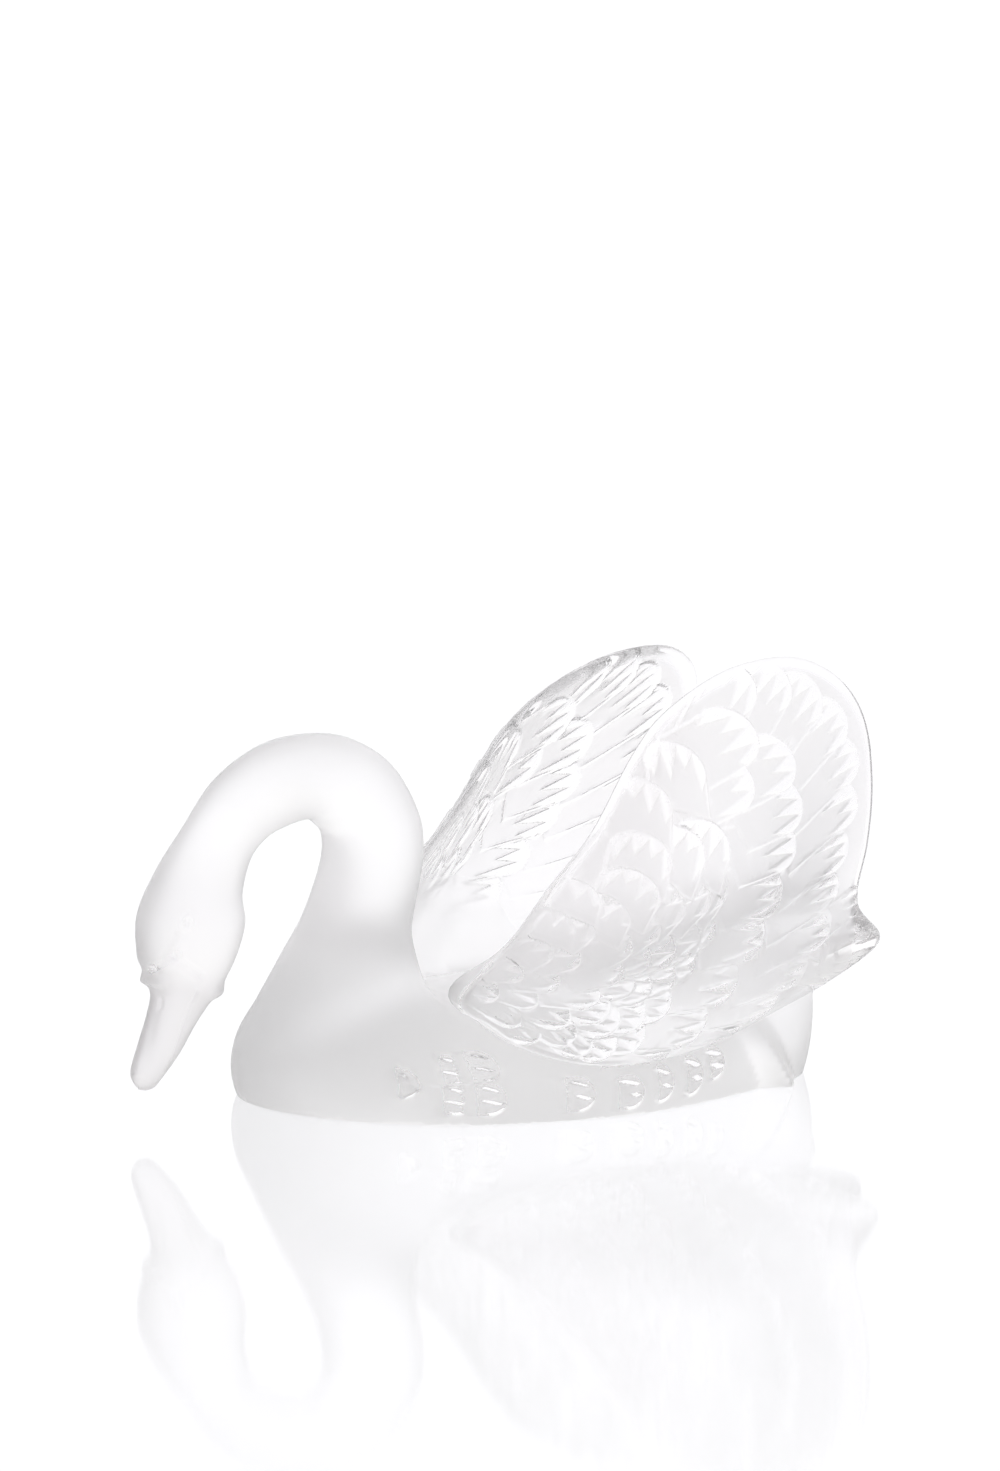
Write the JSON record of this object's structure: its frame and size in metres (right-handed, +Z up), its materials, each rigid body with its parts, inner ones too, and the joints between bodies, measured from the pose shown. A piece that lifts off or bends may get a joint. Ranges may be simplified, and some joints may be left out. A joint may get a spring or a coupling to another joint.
{
  "type": "moulded glass swan figurine",
  "caption": "Swan figurine moulded in one piece of satin and polished glass, head lowered and wings raised, for standing on a flat surface.",
  "frame": {"origin": "middle of the length and width of the piece, on its flat underside", "axes": "+Z up; the swan faces -Y; its left wing is on +X; symmetric about X = 0"},
  "size_m": [0.2008, 0.3441, 0.1721],
  "materials": {
    "glass": "clear crystal glass: satin frosted on the neck, head, breast and base, polished on the feather relief"
  },
  "bodies": {
    "root": {"swan": "glass"}
  },
  "joints": []
}
